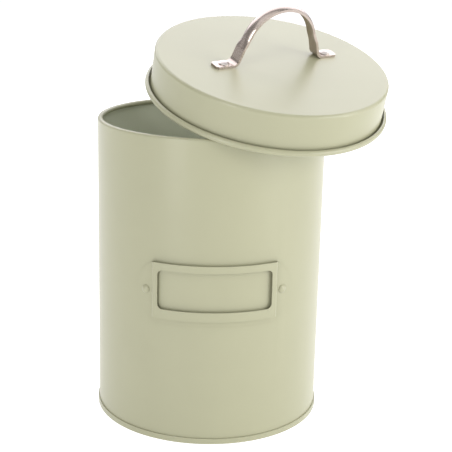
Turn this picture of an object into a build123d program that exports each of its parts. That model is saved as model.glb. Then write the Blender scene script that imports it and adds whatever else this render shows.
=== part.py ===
from build123d import *
import os
from math import asin, cos, degrees, radians, sin, tan

# Pet food bin: a powder-coated steel canister, a slip-over lid, a riveted label holder
# and a riveted strap handle. Units are millimetres.
# The canister stands on z = 0 with its axis on Z, and the label holder faces -Y.
# The lid is off the canister, tipped to the front right, and its rolled bead is just
# clear of the canister's rim.

# ---------------------------------------------------------------- canister
BODY_RADIUS = 84.7
BODY_HEIGHT = 226.0
BODY_SHEET = 0.45
RIM_RADIUS = 1.9            # outside radius of the curled rim's tube
RIM_SWEEP = 300.0           # how far round the rim is curled, in degrees
SLIP = 0.05                 # running gap between folded or riveted layers

# double seam that joins the base pan to the wall
PAN_SHEET = 0.4
SEAM_HEIGHT = 4.25
SEAM_LIP = 0.4              # thickness of the pan's lip over the wall's hook
HOOK_HEIGHT = 3.75
HOOK_GAP = 0.1              # gap between the wall and its folded-back hook
PAN_RECESS = 3.3            # underside of the base panel above the standing ring
PAN_BEAD_RADIUS = 66.0      # stiffening bead pressed up into the base panel
PAN_BEAD_WIDTH = 5.0
PAN_BEAD_RISE = 0.9
SEAM_ROUNDING = 0.3

# side seam at the back: the lap of the rolled sheet, on the inside
LAP_WIDTH = 5.0
LAP_DEPTH = 0.6
LAP_BITE = 0.15             # how far the lap is sunk into the wall
LAP_CLEAR = 5.0             # the lap stops this far from both ends

# ---------------------------------------------------------------- label holder
LABEL_SHEET = 0.6
LABEL_STANDOFF = 2.1        # room for a card between panel and wall
PANEL_HALF_ANGLE = 31.2
PANEL_BOTTOM = 95.0
PANEL_TOP = 136.2
PANEL_BEND = 2.2            # rounding of the panel's two sides
WINDOW_HALF_ANGLE = 27.9
WINDOW_BOTTOM = 102.0
WINDOW_TOP = 131.0
WINDOW_CORNER = 4.0
STRIP_BOTTOM = 91.1         # lower edge of the flange under the panel
EAR_HALF_ANGLE = 40.0       # how far round the two riveted ears reach
EAR_TOP = 135.5
EAR_BOTTOM = 93.5
EAR_BLOCK_DEPTH = 8.0       # half depth of the block that an ear is cut from
LABEL_RIVET_ANGLE = 34.8
LABEL_RIVET_HEIGHT = 114.4
LABEL_RIVET_HEAD = 3.2      # head radius
LABEL_RIVET_DOME = 1.4
LABEL_RIVET_EDGE = 0.3
LABEL_RIVET_SHANK = 1.5
LABEL_RIVET_TAIL = 2.3
LABEL_RIVET_TAIL_HEIGHT = 0.9

# ---------------------------------------------------------------- lid
LID_RADIUS = 85.5           # outside radius of the skirt
LID_SHEET = 0.5
LID_EDGE_RADIUS = 2.2       # rounding between the disc and the skirt
LID_BEAD_DROP = 27.2        # top of the disc down to the centre of the rolled bead
LID_BEAD_RADIUS = 2.25
LID_BEAD_SWEEP = 268.0      # how far round the bead is rolled, in degrees

# the lid's place off the canister
LID_CENTRE = (42.1, -18.6, 269.7)
LID_TILT = 17.1
LID_TILT_DIRECTION = -67.3  # azimuth that the lid leans towards, from +X
HANDLE_DIRECTION = 29.4     # azimuth of the handle's long direction, from +X
HANDLE_OFFSET = (3.0, 1.8)  # the handle is riveted off the disc's middle: along and across it

# ---------------------------------------------------------------- strap handle
STRAP_WIDTH = 10.0
STRAP_THICKNESS = 1.8
HANDLE_HEIGHT = 42.2
ARCH_RADIUS = 31.6          # outside of the arch
LEG_ANGLE = 72.0            # between the legs and the lid
FOOT_BEND_RADIUS = 4.1      # inside radius of the bend between leg and foot
FOOT_REACH = 52.4           # handle centre to the end of a foot
FOOT_CORNER = 1.7           # clipped corners of the feet
CROWN_HALF_WIDTH = 4.5      # section of the arch
CROWN_RISE = 1.5
CROWN_EDGE = 1.7
CROWN_CENTRE_THICKNESS = 1.9
CROWN_LEG_LENGTH = 8.0      # length of leg in which the flat strap turns crowned

HANDLE_RIVET_SPACING = 88.0
HANDLE_RIVET_HEAD = 4.0
HANDLE_RIVET_DOME = 1.6
HANDLE_RIVET_EDGE = 0.5
HANDLE_RIVET_SHANK = 2.0
HANDLE_RIVET_TAIL = 3.2
HANDLE_RIVET_TAIL_HEIGHT = 1.2
WASHER_RADIUS = 5.5
WASHER_THICKNESS = 0.8

SIDES = {"left": -1, "right": 1}


def finish(piece, name):
    """Label a finished piece and write it to its own file."""
    piece.part.label = name
    export_step(piece.part, f"parts/{name}.step")


def wall_plane(angle, height, radius):
    """Plane facing out of the canister's side; the angle is from the front towards +X."""
    turn = radians(angle)
    outward = Vector(sin(turn), -cos(turn), 0)
    place = outward * radius + Vector(0, 0, height)
    return Plane(origin=place, x_dir=(cos(turn), sin(turn), 0), z_dir=outward)


def half_plane(angle):
    """Upright plane through the canister's axis, for profiles in radius and height."""
    turn = radians(angle)
    outward = Vector(sin(turn), -cos(turn), 0)
    return Plane(origin=(0, 0, 0), x_dir=outward, z_dir=outward.cross(Vector(0, 0, 1)))


def wall_sector(half_angle, inner, outer, bottom, top, mode=Mode.ADD):
    """Block of a tube's wall, centred on the front of the canister."""
    with BuildSketch(half_plane(-half_angle)) as profile:
        with Locations(((inner + outer) / 2, (bottom + top) / 2)):
            Rectangle(outer - inner, top - bottom)
    return revolve(profile.sketch, axis=Axis.Z, revolution_arc=2 * half_angle, mode=mode)


def dome_arc(radius, height, top, side):
    """Quarter outline of a dome: from its top on the axis down to its rim."""
    sphere = (radius**2 + height**2) / (2 * height)
    sweep = degrees(asin(radius / sphere))
    return JernArc(start=(0, top), tangent=(1, 0), radius=sphere, arc_size=-side * sweep)


def rivet(plane, head, dome, edge, shank, tail, tail_height, grip):
    """Solid rivet: the plane lies under its head, and its tail is clinched below the grip."""
    profile_plane = Plane(
        origin=plane.origin, x_dir=plane.x_dir, z_dir=plane.x_dir.cross(plane.z_dir)
    )
    with BuildPart() as piece:
        with BuildSketch(profile_plane):
            with BuildLine():
                head_dome = dome_arc(head, dome, edge + dome, 1)
                tail_dome = dome_arc(tail, tail_height, -grip - tail_height, -1)
                Polyline(head_dome @ 1, (head, 0), (shank, 0), (shank, -grip), tail_dome @ 1)
                Line(head_dome @ 0, tail_dome @ 0)
            make_face()
        revolve(axis=Axis(plane.origin, plane.z_dir))
    return piece


os.makedirs("parts", exist_ok=True)

# ---------------------------------------------------------------- canister wall
wall_inner = BODY_RADIUS - BODY_SHEET
rim_centre = (BODY_RADIUS - RIM_RADIUS, BODY_HEIGHT - RIM_RADIUS)
rim_inner_radius = RIM_RADIUS - BODY_SHEET
hook_inner = BODY_RADIUS + HOOK_GAP
hook_outer = hook_inner + BODY_SHEET
hook_bottom = PAN_SHEET + SLIP
hook_web_top = hook_bottom + BODY_SHEET

with BuildPart() as canister_wall:
    with BuildSketch(Plane.XZ):
        with BuildLine():
            Polyline(
                (BODY_RADIUS, rim_centre[1]),
                (BODY_RADIUS, hook_web_top),
                (hook_inner, hook_web_top),
                (hook_inner, HOOK_HEIGHT),
                (hook_outer, HOOK_HEIGHT),
                (hook_outer, hook_bottom),
                (wall_inner, hook_bottom),
                (wall_inner, rim_centre[1]),
            )
            curl_out = CenterArc(rim_centre, RIM_RADIUS, 0, RIM_SWEEP)
            curl_in = CenterArc(rim_centre, rim_inner_radius, 0, RIM_SWEEP)
            Line(curl_out @ 1, curl_in @ 1)
        make_face()
    revolve(axis=Axis.Z)
    # lap of the side seam, inside at the back
    with BuildSketch(Plane.XY.offset(LAP_CLEAR)):
        with Locations((0, wall_inner + LAP_BITE - LAP_DEPTH / 2)):
            Rectangle(LAP_WIDTH, LAP_DEPTH)
    extrude(amount=BODY_HEIGHT - 2 * LAP_CLEAR)
    # holes for the label holder's rivets
    for side in SIDES.values():
        with BuildSketch(wall_plane(side * LABEL_RIVET_ANGLE, LABEL_RIVET_HEIGHT, BODY_RADIUS)):
            Circle(LABEL_RIVET_SHANK + SLIP)
        extrude(amount=2 * BODY_SHEET, both=True, mode=Mode.SUBTRACT)
finish(canister_wall, "canister_wall")

# ---------------------------------------------------------------- base pan
pan_chuck_outer = wall_inner - SLIP
pan_chuck_inner = pan_chuck_outer - PAN_SHEET
pan_leg_inner = hook_outer + SLIP
pan_leg_outer = pan_leg_inner + PAN_SHEET
pan_lip_inner = BODY_RADIUS + SLIP
panel_top = PAN_RECESS + PAN_SHEET
bead_inner = PAN_BEAD_RADIUS - PAN_BEAD_WIDTH / 2
bead_outer = PAN_BEAD_RADIUS + PAN_BEAD_WIDTH / 2

with BuildPart() as base_pan:
    with BuildSketch(Plane.XZ) as pan_profile:
        with BuildLine():
            Line((0, PAN_RECESS), (bead_inner, PAN_RECESS))
            ThreePointArc(
                (bead_inner, PAN_RECESS),
                (PAN_BEAD_RADIUS, PAN_RECESS + PAN_BEAD_RISE),
                (bead_outer, PAN_RECESS),
            )
            Polyline(
                (bead_outer, PAN_RECESS),
                (pan_chuck_inner, PAN_RECESS),
                (pan_chuck_inner, 0),
                (pan_leg_outer, 0),
                (pan_leg_outer, SEAM_HEIGHT),
                (pan_lip_inner, SEAM_HEIGHT),
                (pan_lip_inner, SEAM_HEIGHT - SEAM_LIP),
                (pan_leg_inner, SEAM_HEIGHT - SEAM_LIP),
                (pan_leg_inner, PAN_SHEET),
                (pan_chuck_outer, PAN_SHEET),
                (pan_chuck_outer, panel_top),
                (bead_outer, panel_top),
            )
            ThreePointArc(
                (bead_outer, panel_top),
                (PAN_BEAD_RADIUS, panel_top + PAN_BEAD_RISE),
                (bead_inner, panel_top),
            )
            Polyline((bead_inner, panel_top), (0, panel_top), (0, PAN_RECESS))
        make_face()
        outer_corners = pan_profile.vertices().group_by(Axis.X)[-1]
        fillet(outer_corners, SEAM_ROUNDING)
    revolve(axis=Axis.Z)
finish(base_pan, "base_pan")

# ---------------------------------------------------------------- label holder
flange_inner = BODY_RADIUS + SLIP
flange_outer = flange_inner + LABEL_SHEET
card_outer = BODY_RADIUS + LABEL_STANDOFF
panel_outer = card_outer + LABEL_SHEET
sheet_angle = degrees(LABEL_SHEET / BODY_RADIUS)
ear_middle = (EAR_TOP + EAR_BOTTOM) / 2


def ear(side):
    """Rounded ear beside the panel, cut from the flange's tube."""
    plane = wall_plane(side * PANEL_HALF_ANGLE, ear_middle, BODY_RADIUS)
    reach = flange_outer * sin(radians(EAR_HALF_ANGLE - PANEL_HALF_ANGLE))
    rise = (EAR_TOP - EAR_BOTTOM) / 2
    with BuildPart() as blade:
        with BuildSketch(plane):
            with BuildLine():
                ThreePointArc((0, rise), (side * reach, 0), (0, -rise))
                Polyline((0, -rise), (-side * LABEL_SHEET, -rise), (-side * LABEL_SHEET, rise), (0, rise))
            make_face()
        extrude(amount=EAR_BLOCK_DEPTH, both=True)
        with BuildSketch(Plane.XY.offset(EAR_BOTTOM)):
            Circle(flange_outer)
            Circle(flange_inner, mode=Mode.SUBTRACT)
        extrude(amount=EAR_TOP - EAR_BOTTOM, mode=Mode.INTERSECT)
    return blade.part


ears = [ear(side) for side in SIDES.values()]


def rounded_block(half_angle, outer, bottom, top, rounding):
    """Block of a tube's wall with its two outer upright edges rounded."""
    with BuildPart() as block:
        wall_sector(half_angle, flange_inner, outer, bottom, top)
        sides = block.edges().filter_by(Axis.Z).sort_by(lambda edge: edge.center().Y)
        fillet(sides[:2], rounding)
    return block.part


raised_panel = rounded_block(PANEL_HALF_ANGLE, panel_outer, PANEL_BOTTOM, PANEL_TOP, PANEL_BEND)
card_space = rounded_block(
    PANEL_HALF_ANGLE - sheet_angle,
    card_outer,
    PANEL_BOTTOM + LABEL_SHEET,
    PANEL_TOP + LABEL_STANDOFF,
    PANEL_BEND - LABEL_SHEET,
)

# the window's opening, with rounded corners
with BuildPart() as window:
    wall_sector(WINDOW_HALF_ANGLE, BODY_RADIUS, panel_outer + LABEL_SHEET, WINDOW_BOTTOM, WINDOW_TOP)
    corners = window.edges().filter_by(GeomType.LINE).filter_by(Axis.Z, reverse=True)
    fillet(corners, WINDOW_CORNER)

with BuildPart() as label_holder:
    # raised panel, hollow behind and open at the top for a card
    add(raised_panel)
    add(card_space, mode=Mode.SUBTRACT)
    # flange strip below the panel, and the two ears
    wall_sector(PANEL_HALF_ANGLE, flange_inner, flange_outer, STRIP_BOTTOM, PANEL_BOTTOM + LABEL_SHEET)
    add(ears)
    add(window.part, mode=Mode.SUBTRACT)
    for side in SIDES.values():
        with BuildSketch(wall_plane(side * LABEL_RIVET_ANGLE, LABEL_RIVET_HEIGHT, BODY_RADIUS)):
            Circle(LABEL_RIVET_SHANK + SLIP)
        extrude(amount=2 * LABEL_SHEET, both=True, mode=Mode.SUBTRACT)
finish(label_holder, "label_holder")

# ---------------------------------------------------------------- label rivets
label_grip = LABEL_SHEET + BODY_SHEET + 2 * SLIP
for name, side in SIDES.items():
    seat = wall_plane(side * LABEL_RIVET_ANGLE, LABEL_RIVET_HEIGHT, flange_outer)
    label_rivet = rivet(
        seat,
        LABEL_RIVET_HEAD,
        LABEL_RIVET_DOME,
        LABEL_RIVET_EDGE,
        LABEL_RIVET_SHANK,
        LABEL_RIVET_TAIL,
        LABEL_RIVET_TAIL_HEIGHT,
        label_grip,
    )
    finish(label_rivet, f"label_rivet_{name}")

# ---------------------------------------------------------------- the lid's own planes
tilt = radians(LID_TILT)
lean = radians(LID_TILT_DIRECTION)
lid_normal = Vector(sin(tilt) * cos(lean), sin(tilt) * sin(lean), cos(tilt))
level = Vector(cos(radians(HANDLE_DIRECTION)), sin(radians(HANDLE_DIRECTION)), 0)
handle_dir = (level - lid_normal * level.dot(lid_normal)).normalized()
lid_plane = Plane(origin=LID_CENTRE, x_dir=handle_dir, z_dir=lid_normal)
lid_side = Plane(origin=LID_CENTRE, x_dir=handle_dir, z_dir=handle_dir.cross(lid_normal))
lid_axis = Axis(lid_plane.origin, lid_normal)
handle_middle = lid_plane.from_local_coords(Vector(HANDLE_OFFSET[0], HANDLE_OFFSET[1], 0))
handle_plane = Plane(origin=handle_middle, x_dir=handle_dir, z_dir=lid_normal)
handle_side = Plane(origin=handle_middle, x_dir=handle_dir, z_dir=handle_dir.cross(lid_normal))

# ---------------------------------------------------------------- lid shell
bead_centre = (LID_RADIUS + LID_BEAD_RADIUS - LID_SHEET, -LID_BEAD_DROP)
skirt_inner = LID_RADIUS - LID_SHEET

with BuildPart() as lid_shell:
    with BuildSketch(lid_side):
        with BuildLine():
            Line((0, 0), (LID_RADIUS - LID_EDGE_RADIUS, 0))
            CenterArc((LID_RADIUS - LID_EDGE_RADIUS, -LID_EDGE_RADIUS), LID_EDGE_RADIUS, 0, 90)
            Line((LID_RADIUS, -LID_EDGE_RADIUS), (LID_RADIUS, -LID_BEAD_DROP))
            bead_in = CenterArc(bead_centre, LID_BEAD_RADIUS - LID_SHEET, 180, LID_BEAD_SWEEP)
            bead_out = CenterArc(bead_centre, LID_BEAD_RADIUS, 180, LID_BEAD_SWEEP)
            Line(bead_in @ 1, bead_out @ 1)
            Line((skirt_inner, -LID_BEAD_DROP), (skirt_inner, -LID_EDGE_RADIUS))
            CenterArc(
                (LID_RADIUS - LID_EDGE_RADIUS, -LID_EDGE_RADIUS), LID_EDGE_RADIUS - LID_SHEET, 0, 90
            )
            Polyline((LID_RADIUS - LID_EDGE_RADIUS, -LID_SHEET), (0, -LID_SHEET), (0, 0))
        make_face()
    revolve(axis=lid_axis)
    with BuildSketch(handle_plane):
        with GridLocations(HANDLE_RIVET_SPACING, 0, 2, 1):
            Circle(HANDLE_RIVET_SHANK + SLIP)
    extrude(amount=-2 * LID_SHEET, mode=Mode.SUBTRACT)
finish(lid_shell, "lid_shell")

# ---------------------------------------------------------------- strap handle
leg = radians(LEG_ANGLE)
arch_centre_height = HANDLE_HEIGHT - ARCH_RADIUS


def strap_plane(along):
    """Plane across the left leg, on its outer face, at a distance down from the arch's end."""
    across = -ARCH_RADIUS * sin(leg) - along * cos(leg)
    height = arch_centre_height + ARCH_RADIUS * cos(leg) - along * sin(leg)
    origin = handle_plane.from_local_coords(Vector(across, 0, height))
    outward = lid_normal * cos(leg) - handle_dir * sin(leg)
    return Plane(origin=origin, x_dir=handle_plane.y_dir, z_dir=handle_plane.y_dir.cross(outward))


def flat_section(plane):
    """Section of the flat strap, its outer face on the plane's x axis."""
    with BuildSketch(plane) as section:
        with Locations((0, -STRAP_THICKNESS / 2)):
            Rectangle(STRAP_WIDTH, STRAP_THICKNESS)
    return section.sketch


def crown_section(plane):
    """Section of the arch: crowned outside, hollow inside, with upright edges."""
    edge_depth = CROWN_RISE + CROWN_EDGE
    with BuildSketch(plane) as section:
        with BuildLine():
            ThreePointArc((-CROWN_HALF_WIDTH, -CROWN_RISE), (0, 0), (CROWN_HALF_WIDTH, -CROWN_RISE))
            Line((CROWN_HALF_WIDTH, -CROWN_RISE), (CROWN_HALF_WIDTH, -edge_depth))
            ThreePointArc(
                (CROWN_HALF_WIDTH, -edge_depth),
                (0, -CROWN_CENTRE_THICKNESS),
                (-CROWN_HALF_WIDTH, -edge_depth),
            )
            Line((-CROWN_HALF_WIDTH, -edge_depth), (-CROWN_HALF_WIDTH, -CROWN_RISE))
        make_face()
    return section.sketch


# outline of the left leg's flat end: down the leg, round the bend and out along the foot
leg_top = (
    -ARCH_RADIUS * sin(leg) - CROWN_LEG_LENGTH * cos(leg),
    arch_centre_height + ARCH_RADIUS * cos(leg) - CROWN_LEG_LENGTH * sin(leg),
)
leg_top_inner = (leg_top[0] + STRAP_THICKNESS * sin(leg), leg_top[1] - STRAP_THICKNESS * cos(leg))
bend_corner = (leg_top[0] - (leg_top[1] - STRAP_THICKNESS) / tan(leg), STRAP_THICKNESS)
bend_corner_inner = (leg_top_inner[0] - leg_top_inner[1] / tan(leg), 0)
arch_axis = Axis(handle_plane.from_local_coords(Vector(0, 0, arch_centre_height)), handle_plane.y_dir)
middle_plane = Plane(origin=handle_middle, x_dir=handle_plane.y_dir, z_dir=handle_dir)

with BuildPart() as lid_handle:
    # the left foot, the bend and the flat part of the leg
    with BuildSketch(handle_side):
        with BuildLine():
            FilletPolyline(
                leg_top,
                bend_corner,
                (-FOOT_REACH, STRAP_THICKNESS),
                radius=FOOT_BEND_RADIUS,
            )
            FilletPolyline(
                leg_top_inner,
                bend_corner_inner,
                (-FOOT_REACH, 0),
                radius=FOOT_BEND_RADIUS + STRAP_THICKNESS,
            )
            Line((-FOOT_REACH, 0), (-FOOT_REACH, STRAP_THICKNESS))
            Line(leg_top, leg_top_inner)
        make_face()
    extrude(amount=STRAP_WIDTH / 2, both=True)
    foot_end = lid_handle.edges().filter_by(lid_axis).sort_by(Axis(handle_middle, handle_dir))[:2]
    chamfer(foot_end, FOOT_CORNER)
    # the leg's upper part turns from a flat strap into the arch's crowned section
    arch_section = crown_section(strap_plane(0))
    loft([flat_section(strap_plane(CROWN_LEG_LENGTH)), arch_section])
    # half of the arch, and the other half of the handle
    revolve(arch_section, axis=arch_axis, revolution_arc=LEG_ANGLE)
    mirror(about=middle_plane)
    with BuildSketch(handle_plane):
        with GridLocations(HANDLE_RIVET_SPACING, 0, 2, 1):
            Circle(HANDLE_RIVET_SHANK + SLIP)
    extrude(amount=STRAP_THICKNESS, mode=Mode.SUBTRACT)
finish(lid_handle, "lid_handle")

# ---------------------------------------------------------------- handle rivets and washers
handle_grip = STRAP_THICKNESS + LID_SHEET + WASHER_THICKNESS
for name, side in SIDES.items():
    place = side * HANDLE_RIVET_SPACING / 2
    seat = Plane(
        origin=handle_plane.from_local_coords(Vector(place, 0, STRAP_THICKNESS)),
        x_dir=handle_dir,
        z_dir=lid_normal,
    )
    handle_rivet = rivet(
        seat,
        HANDLE_RIVET_HEAD,
        HANDLE_RIVET_DOME,
        HANDLE_RIVET_EDGE,
        HANDLE_RIVET_SHANK,
        HANDLE_RIVET_TAIL,
        HANDLE_RIVET_TAIL_HEIGHT,
        handle_grip,
    )
    finish(handle_rivet, f"handle_rivet_{name}")
    with BuildPart() as washer:
        with BuildSketch(handle_plane.offset(-LID_SHEET)):
            with Locations((place, 0)):
                Circle(WASHER_RADIUS)
                Circle(HANDLE_RIVET_SHANK + SLIP, mode=Mode.SUBTRACT)
        extrude(amount=-WASHER_THICKNESS)
    finish(washer, f"handle_washer_{name}")
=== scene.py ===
from math import cos, pi, radians, sin

import bpy
from mathutils import Matrix, Vector

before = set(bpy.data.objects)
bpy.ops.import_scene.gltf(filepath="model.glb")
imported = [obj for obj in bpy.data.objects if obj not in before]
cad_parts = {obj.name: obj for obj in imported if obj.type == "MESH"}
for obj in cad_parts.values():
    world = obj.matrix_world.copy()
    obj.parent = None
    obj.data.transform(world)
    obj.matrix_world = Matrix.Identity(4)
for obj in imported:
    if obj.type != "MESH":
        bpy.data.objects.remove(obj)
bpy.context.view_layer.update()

# ---------------------------------------------------------------- camera
CAMERA_DISTANCE = 0.8548      # from the canister's axis, metres
CAMERA_HEIGHT = 0.3871
CAMERA_BEARING = -3.2         # degrees round from the front, towards +X
CAMERA_TURN = 0.823           # turned off the axis, to the right
CAMERA_PITCH = 16.06          # looking down
CAMERA_ROLL = 1.335
CAMERA_LENS = 92.58           # millimetres
CAMERA_SENSOR = 36
CAMERA_NEAR = 0.05


def add_camera():
    bearing = radians(CAMERA_BEARING)
    turn = radians(CAMERA_TURN) - bearing
    pitch = radians(CAMERA_PITCH)
    roll = radians(CAMERA_ROLL)
    ahead = Vector((sin(turn) * cos(pitch), cos(turn) * cos(pitch), -sin(pitch)))
    right = Vector((cos(turn), -sin(turn), 0))
    up = right.cross(ahead)
    rolled_right = cos(roll) * right + sin(roll) * up
    rolled_up = cos(roll) * up - sin(roll) * right
    camera = bpy.data.objects.new("camera", bpy.data.cameras.new("camera"))
    camera.data.lens = CAMERA_LENS
    camera.data.sensor_width = CAMERA_SENSOR
    camera.data.clip_start = CAMERA_NEAR
    axes = Matrix((rolled_right, rolled_up, -ahead)).transposed().to_4x4()
    place = Vector((sin(bearing), -cos(bearing), 0)) * CAMERA_DISTANCE
    place.z = CAMERA_HEIGHT
    camera.matrix_world = Matrix.Translation(place) @ axes
    bpy.context.scene.collection.objects.link(camera)
    bpy.context.scene.camera = camera


# ---------------------------------------------------------------- stage and light
FLOOR_SIZE = 60.0
FLOOR_GREY = 0.5              # how much light the floor reflects
FLOOR_GLOW = 0.8              # the light that it gives off, like a back-lit sweep
FLOOR_ROUGHNESS = 0.9
WORLD_STRENGTH = 0.4
MIDDLE = Vector((0.0, 0.0, 0.15))    # the point that every softbox faces


def add_floor():
    mesh = bpy.data.meshes.new("floor")
    half = FLOOR_SIZE / 2
    corners = [(-half, -half, 0), (half, -half, 0), (half, half, 0), (-half, half, 0)]
    mesh.from_pydata(corners, [], [(0, 1, 2, 3)])
    floor = bpy.data.objects.new("floor", mesh)
    bpy.context.scene.collection.objects.link(floor)
    material = bpy.data.materials.new("studio_floor")
    material.use_nodes = True
    shader = material.node_tree.nodes["Principled BSDF"]
    shader.inputs["Base Color"].default_value = (FLOOR_GREY, FLOOR_GREY, FLOOR_GREY, 1)
    shader.inputs["Roughness"].default_value = FLOOR_ROUGHNESS
    shader.inputs["Emission Color"].default_value = (1, 1, 1, 1)
    shader.inputs["Emission Strength"].default_value = FLOOR_GLOW
    mesh.materials.append(material)


def add_world():
    world = bpy.data.worlds.new("studio")
    world.use_nodes = True
    background = world.node_tree.nodes["Background"]
    background.inputs["Color"].default_value = (1, 1, 1, 1)
    background.inputs["Strength"].default_value = WORLD_STRENGTH
    bpy.context.scene.world = world


def add_softbox(name, bearing, rise, distance, size, radiance, colour=(1, 1, 1)):
    """Rectangular light that faces the object; the bearing runs from the front towards +X."""
    light = bpy.data.lights.new(name, "AREA")
    light.shape = "RECTANGLE"
    light.size, light.size_y = size
    light.energy = radiance * pi * size[0] * size[1]
    light.color = colour
    lamp = bpy.data.objects.new(name, light)
    turn = radians(bearing)
    up = radians(rise)
    outward = Vector((sin(turn) * cos(up), -cos(turn) * cos(up), sin(up)))
    lamp.rotation_euler = (-outward).to_track_quat("-Z", "Y").to_euler()
    lamp.location = MIDDLE + outward * distance
    bpy.context.scene.collection.objects.link(lamp)


add_camera()
add_floor()
add_world()
add_softbox("back_box", 180, 48, 2.2, (4.0, 2.6), 2.45, (0.94, 0.925, 1.0))
add_softbox("right_box", 95, 20, 1.8, (1.0, 1.6), 1.6, (1.0, 0.99, 0.92))
add_softbox("right_front_box", 62, 8, 1.8, (1.1, 1.6), 5.0)
add_softbox("left_box", -108, 6, 1.8, (0.9, 0.7), 0.6)
add_softbox("left_strip", -36, 4, 1.6, (0.18, 1.3), 17.0)
add_softbox("front_top_box", -10, 60, 1.8, (1.8, 1.4), 0.95)
bpy.context.scene.view_settings.view_transform = "Standard"

# ---------------------------------------------------------------- paint
SAGE = (0.33, 0.326, 0.214)
# painted light: the inside is the same sage coat, given this paler colour to stand in for light
# reaching inside
PAINTED_INSIDE_LIGHT = (0.67, 0.69, 0.57)
COAT_ROUGHNESS = 0.34
COAT_VARIATION = 0.03         # the mottle's part of the colour, each way
MOTTLE_SCALE = 35.0
PEEL_SCALE = 1400.0
PEEL_STRENGTH = 0.12
PEEL_DEPTH = 0.0002

# where the insides of the walls are painted paler as painted light, in metres along and out from each
# wall's own axis
BODY_AXIS = {
    "origin": (0, 0, 0),
    "turn": (0, 0, 0),
    "radius": 0.0844,         # within the thickness of the wall
    "bottom": 0.0035,         # within the thickness of the base panel
    "top": 0.2222,            # just below the curled rim
    "slant": 1.0,             # no slant
}
LID_AXIS = {
    "origin": (0.0421, -0.0186, 0.2697),
    "turn": (0, radians(17.1), radians(-67.3)),
    "radius": 0.0851,         # within the thickness of the skirt
    "bottom": -0.027,         # where the skirt turns out into the rolled bead
    "top": -0.00025,          # within the thickness of the disc
    "slant": 0.0836,          # passes between the outer and inner faces of the rounded edge
}


def new_material(name):
    material = bpy.data.materials.new(name)
    material.use_nodes = True
    return material, material.node_tree, material.node_tree.nodes["Principled BSDF"]


def add_node(tree, kind, **inputs):
    node = tree.nodes.new(kind)
    for key, value in inputs.items():
        node.inputs[key.replace("_", " ")].default_value = value
    return node


def two_tones(tree, colour, dark, light):
    """Mix node between a darker and a lighter tone of one colour."""
    tone = add_node(tree, "ShaderNodeMix")
    tone.data_type = "RGBA"
    tone.inputs["A"].default_value = (*[channel * dark for channel in colour], 1)
    tone.inputs["B"].default_value = (*[channel * light for channel in colour], 1)
    return tone


def painted_inside_light_mask(tree, place, axis):
    """One inside a round wall, zero outside: within its radius, two heights and a 45 degree slant; it
    marks where the painted light goes.
    """
    local = add_node(tree, "ShaderNodeMapping")
    local.vector_type = "TEXTURE"
    local.inputs["Location"].default_value = axis["origin"]
    local.inputs["Rotation"].default_value = axis["turn"]
    split = add_node(tree, "ShaderNodeSeparateXYZ")
    flat = add_node(tree, "ShaderNodeCombineXYZ")
    radius = add_node(tree, "ShaderNodeVectorMath")
    radius.operation = "LENGTH"
    slant = add_node(tree, "ShaderNodeMath")
    slant.operation = "ADD"
    tree.links.new(place.outputs["Object"], local.inputs["Vector"])
    tree.links.new(local.outputs["Vector"], split.inputs["Vector"])
    tree.links.new(split.outputs["X"], flat.inputs["X"])
    tree.links.new(split.outputs["Y"], flat.inputs["Y"])
    tree.links.new(flat.outputs["Vector"], radius.inputs[0])
    tree.links.new(radius.outputs["Value"], slant.inputs[0])
    tree.links.new(split.outputs["Z"], slant.inputs[1])
    tests = [
        (slant.outputs["Value"], "LESS_THAN", axis["slant"]),
        (radius.outputs["Value"], "LESS_THAN", axis["radius"]),
        (split.outputs["Z"], "LESS_THAN", axis["top"]),
        (split.outputs["Z"], "GREATER_THAN", axis["bottom"]),
    ]
    inside = None
    for value, operation, limit in tests:
        test = add_node(tree, "ShaderNodeMath")
        test.operation = operation
        test.inputs[1].default_value = limit
        tree.links.new(value, test.inputs[0])
        if inside is None:
            inside = test.outputs["Value"]
            continue
        both = add_node(tree, "ShaderNodeMath")
        both.operation = "MULTIPLY"
        tree.links.new(inside, both.inputs[0])
        tree.links.new(test.outputs["Value"], both.inputs[1])
        inside = both.outputs["Value"]
    return inside


def powder_coat(name, colour, axis=None):
    """Satin powder coat with orange peel and a slight mottle; painted paler inside a wall with an
    axis, as painted light.
    """
    material, tree, shader = new_material(name)
    place = add_node(tree, "ShaderNodeTexCoord")
    mottle = add_node(tree, "ShaderNodeTexNoise", Scale=MOTTLE_SCALE, Detail=3.0)
    peel = add_node(tree, "ShaderNodeTexNoise", Scale=PEEL_SCALE, Detail=2.0)
    tone = two_tones(tree, colour, 1 - COAT_VARIATION, 1 + COAT_VARIATION)
    bump = add_node(tree, "ShaderNodeBump", Strength=PEEL_STRENGTH, Distance=PEEL_DEPTH)
    for noise in (mottle, peel):
        tree.links.new(place.outputs["Object"], noise.inputs["Vector"])
    tree.links.new(mottle.outputs["Fac"], tone.inputs["Factor"])
    tree.links.new(tone.outputs["Result"], shader.inputs["Base Color"])
    if axis:
        # painted light: the inside of the wall is given the paler colour in place of the coat's own
        inside_brightened = add_node(tree, "ShaderNodeMix")
        inside_brightened.data_type = "RGBA"
        inside_brightened.inputs["B"].default_value = (*PAINTED_INSIDE_LIGHT, 1)
        tree.links.new(painted_inside_light_mask(tree, place, axis), inside_brightened.inputs["Factor"])
        tree.links.new(tone.outputs["Result"], inside_brightened.inputs["A"])
        tree.links.new(inside_brightened.outputs["Result"], shader.inputs["Base Color"])
    tree.links.new(peel.outputs["Fac"], bump.inputs["Height"])
    tree.links.new(bump.outputs["Normal"], shader.inputs["Normal"])
    shader.inputs["Roughness"].default_value = COAT_ROUGHNESS
    return material


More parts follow.
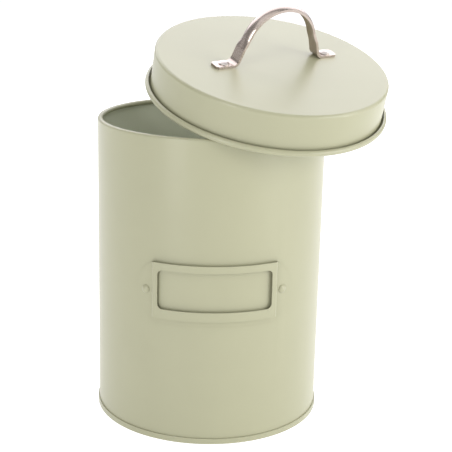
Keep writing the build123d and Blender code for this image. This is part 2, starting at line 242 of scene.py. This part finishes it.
# ---------------------------------------------------------------- metal
STRAP_COLOUR = (0.45, 0.385, 0.345)
RIVET_COLOUR = (0.62, 0.57, 0.54)
WASHER_COLOUR = (0.5, 0.5, 0.49)
HANDLE_GRAIN = (0, 0, radians(-29.4))        # turns the handle's long direction onto X
BRUSH_STRETCH = (90.0, 4000.0, 4000.0)       # the brush lines run along X
BRUSH_DEPTH = 0.00002
CLOUD_SCALE = 180.0
METAL_DARK = 0.9
METAL_LIGHT = 1.08
GLOSS_LEAST = 0.8
GLOSS_MOST = 1.25


def brushed_metal(name, colour, roughness, relief):
    """Satin metal: fine brush lines along the handle, over slightly uneven tone."""
    material, tree, shader = new_material(name)
    place = add_node(tree, "ShaderNodeTexCoord")
    turn = add_node(tree, "ShaderNodeMapping")
    turn.inputs["Rotation"].default_value = HANDLE_GRAIN
    turn.inputs["Scale"].default_value = BRUSH_STRETCH
    brush = add_node(tree, "ShaderNodeTexNoise", Scale=1.0, Detail=3.0)
    cloud = add_node(tree, "ShaderNodeTexNoise", Scale=CLOUD_SCALE, Detail=3.0)
    tree.links.new(place.outputs["Object"], turn.inputs["Vector"])
    tree.links.new(turn.outputs["Vector"], brush.inputs["Vector"])
    tree.links.new(place.outputs["Object"], cloud.inputs["Vector"])
    tone = two_tones(tree, colour, METAL_DARK, METAL_LIGHT)
    tree.links.new(cloud.outputs["Fac"], tone.inputs["Factor"])
    tree.links.new(tone.outputs["Result"], shader.inputs["Base Color"])
    gloss = add_node(tree, "ShaderNodeMapRange")
    gloss.inputs["To Min"].default_value = roughness * GLOSS_LEAST
    gloss.inputs["To Max"].default_value = roughness * GLOSS_MOST
    tree.links.new(brush.outputs["Fac"], gloss.inputs["Value"])
    tree.links.new(gloss.outputs["Result"], shader.inputs["Roughness"])
    bump = add_node(tree, "ShaderNodeBump", Strength=relief, Distance=BRUSH_DEPTH)
    tree.links.new(brush.outputs["Fac"], bump.inputs["Height"])
    tree.links.new(bump.outputs["Normal"], shader.inputs["Normal"])
    shader.inputs["Metallic"].default_value = 1.0
    return material


# ---------------------------------------------------------------- finishes
coat = powder_coat("sage_coat", SAGE)
body_coat = powder_coat("sage_coat_body", SAGE, BODY_AXIS)
lid_coat = powder_coat("sage_coat_lid", SAGE, LID_AXIS)
strap_metal = brushed_metal("strap_nickel", STRAP_COLOUR, roughness=0.27, relief=0.3)
rivet_metal = brushed_metal("rivet_nickel", RIVET_COLOUR, roughness=0.4, relief=0.05)
washer_metal = brushed_metal("washer_zinc", WASHER_COLOUR, roughness=0.42, relief=0.3)

FINISHES = {
    "canister_wall": body_coat,
    "base_pan": body_coat,
    "label_holder": coat,
    "label_rivet_left": coat,
    "label_rivet_right": coat,
    "lid_shell": lid_coat,
    "lid_handle": strap_metal,
    "handle_rivet_left": rivet_metal,
    "handle_rivet_right": rivet_metal,
    "handle_washer_left": washer_metal,
    "handle_washer_right": washer_metal,
}
for node, material in FINISHES.items():
    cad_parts[node].data.materials.clear()
    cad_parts[node].data.materials.append(material)
